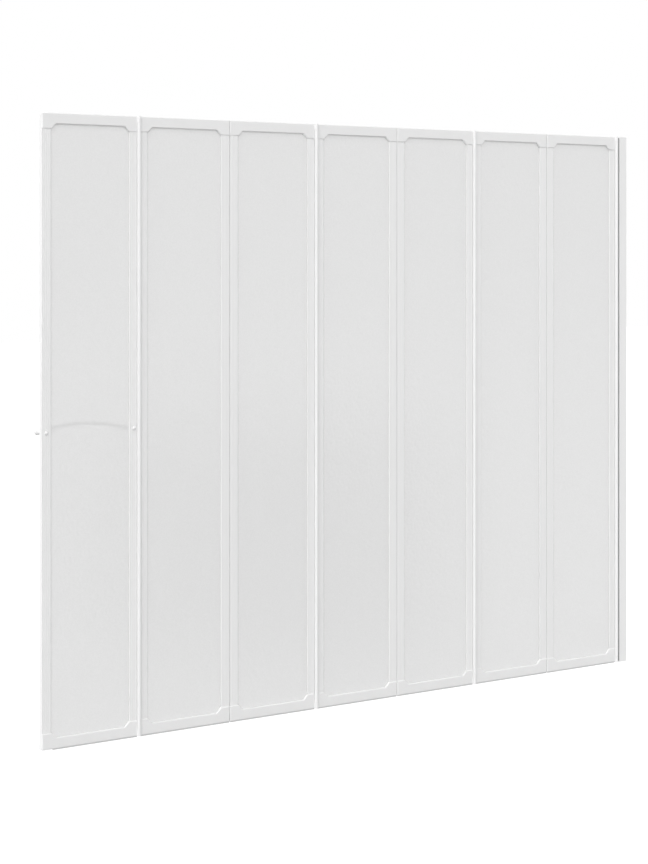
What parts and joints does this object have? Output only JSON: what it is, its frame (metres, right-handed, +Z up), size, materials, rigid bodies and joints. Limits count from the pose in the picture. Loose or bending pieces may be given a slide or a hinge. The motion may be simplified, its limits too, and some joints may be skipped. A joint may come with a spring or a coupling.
{
  "type": "folding bath screen",
  "caption": "Wall-hung folding bath screen: narrow framed leaves of frosted sheet, hinged in a row, with a towel rail on the free leaf.",
  "frame": {"origin": "middle of the wall face at the foot of the wall channel", "axes": "+X along the open screen towards the wall, -Y out of the front, +Z up"},
  "size_m": [1.6795, 0.0489, 1.302],
  "materials": {
    "frosted_sheet": "translucent polystyrene sheet, pebbled on its face",
    "stile_pvc": "white extruded PVC, satin, with fine flutes",
    "cap_abs": "white moulded ABS, satin gloss",
    "rail_abs": "white moulded ABS, glossy",
    "wall_profile": "white coated aluminium extrusion, satin",
    "seal_pvc": "soft translucent grey PVC",
    "steel": "bright stainless steel"
  },
  "bodies": {
    "wall_fitting": {"wall_channel": "wall_profile", "channel_end_plates": "cap_abs"},
    "hinge_profile": {"wall_hinge_profile": "wall_profile", "adjusting_screws": "steel"},
    "leaf_7": {"sheet_7": "frosted_sheet", "left_stile_7": "stile_pvc", "right_stile_7": "stile_pvc", "top_cap_7": "cap_abs", "bottom_cap_7": "cap_abs", "bottom_seal_7": "seal_pvc", "hinge_pins_7": "steel"},
    "leaf_6": {"sheet_6": "frosted_sheet", "left_stile_6": "stile_pvc", "right_stile_6": "stile_pvc", "top_cap_6": "cap_abs", "bottom_cap_6": "cap_abs", "bottom_seal_6": "seal_pvc", "hinge_pins_6": "steel"},
    "leaf_5": {"sheet_5": "frosted_sheet", "left_stile_5": "stile_pvc", "right_stile_5": "stile_pvc", "top_cap_5": "cap_abs", "bottom_cap_5": "cap_abs", "bottom_seal_5": "seal_pvc", "hinge_pins_5": "steel"},
    "leaf_4": {"sheet_4": "frosted_sheet", "left_stile_4": "stile_pvc", "right_stile_4": "stile_pvc", "top_cap_4": "cap_abs", "bottom_cap_4": "cap_abs", "bottom_seal_4": "seal_pvc", "hinge_pins_4": "steel"},
    "leaf_3": {"sheet_3": "frosted_sheet", "left_stile_3": "stile_pvc", "right_stile_3": "stile_pvc", "top_cap_3": "cap_abs", "bottom_cap_3": "cap_abs", "bottom_seal_3": "seal_pvc", "hinge_pins_3": "steel"},
    "leaf_2": {"sheet_2": "frosted_sheet", "left_stile_2": "stile_pvc", "right_stile_2": "stile_pvc", "top_cap_2": "cap_abs", "bottom_cap_2": "cap_abs", "bottom_seal_2": "seal_pvc", "hinge_pins_2": "steel"},
    "leaf_1": {"sheet_1": "frosted_sheet", "left_stile_1": "stile_pvc", "right_stile_1": "stile_pvc", "top_cap_1": "cap_abs", "bottom_cap_1": "cap_abs", "bottom_seal_1": "seal_pvc", "hinge_pins_1": "steel", "towel_bar": "rail_abs", "towel_posts": "rail_abs", "towel_screws": "steel", "towel_screw_covers": "rail_abs"}
  },
  "joints": [
    {"name": "wall_adjust", "type": "slide", "parent": "wall_fitting", "child": "hinge_profile", "axis": [-1, 0, 0], "range_m": [-0.004, 0.006]},
    {"name": "wall_hinge", "type": "hinge", "parent": "hinge_profile", "child": "leaf_7", "pos_m": [-0.035, -0.007, 0.651], "axis": [0, 0, 1], "range_deg": [0, 90]},
    {"name": "hinge_6_7", "type": "hinge", "parent": "leaf_7", "child": "leaf_6", "pos_m": [-0.27, 0.007, 0.651], "axis": [0, 0, -1], "range_deg": [0, 175]},
    {"name": "hinge_5_6", "type": "hinge", "parent": "leaf_6", "child": "leaf_5", "pos_m": [-0.505, -0.007, 0.651], "axis": [0, 0, 1], "range_deg": [0, 175]},
    {"name": "hinge_4_5", "type": "hinge", "parent": "leaf_5", "child": "leaf_4", "pos_m": [-0.74, 0.007, 0.651], "axis": [0, 0, -1], "range_deg": [0, 175]},
    {"name": "hinge_3_4", "type": "hinge", "parent": "leaf_4", "child": "leaf_3", "pos_m": [-0.975, -0.007, 0.651], "axis": [0, 0, 1], "range_deg": [0, 175]},
    {"name": "hinge_2_3", "type": "hinge", "parent": "leaf_3", "child": "leaf_2", "pos_m": [-1.21, 0.007, 0.651], "axis": [0, 0, -1], "range_deg": [0, 170]},
    {"name": "hinge_1_2", "type": "hinge", "parent": "leaf_2", "child": "leaf_1", "pos_m": [-1.445, -0.007, 0.651], "axis": [0, 0, 1], "range_deg": [0, 175]}
  ]
}
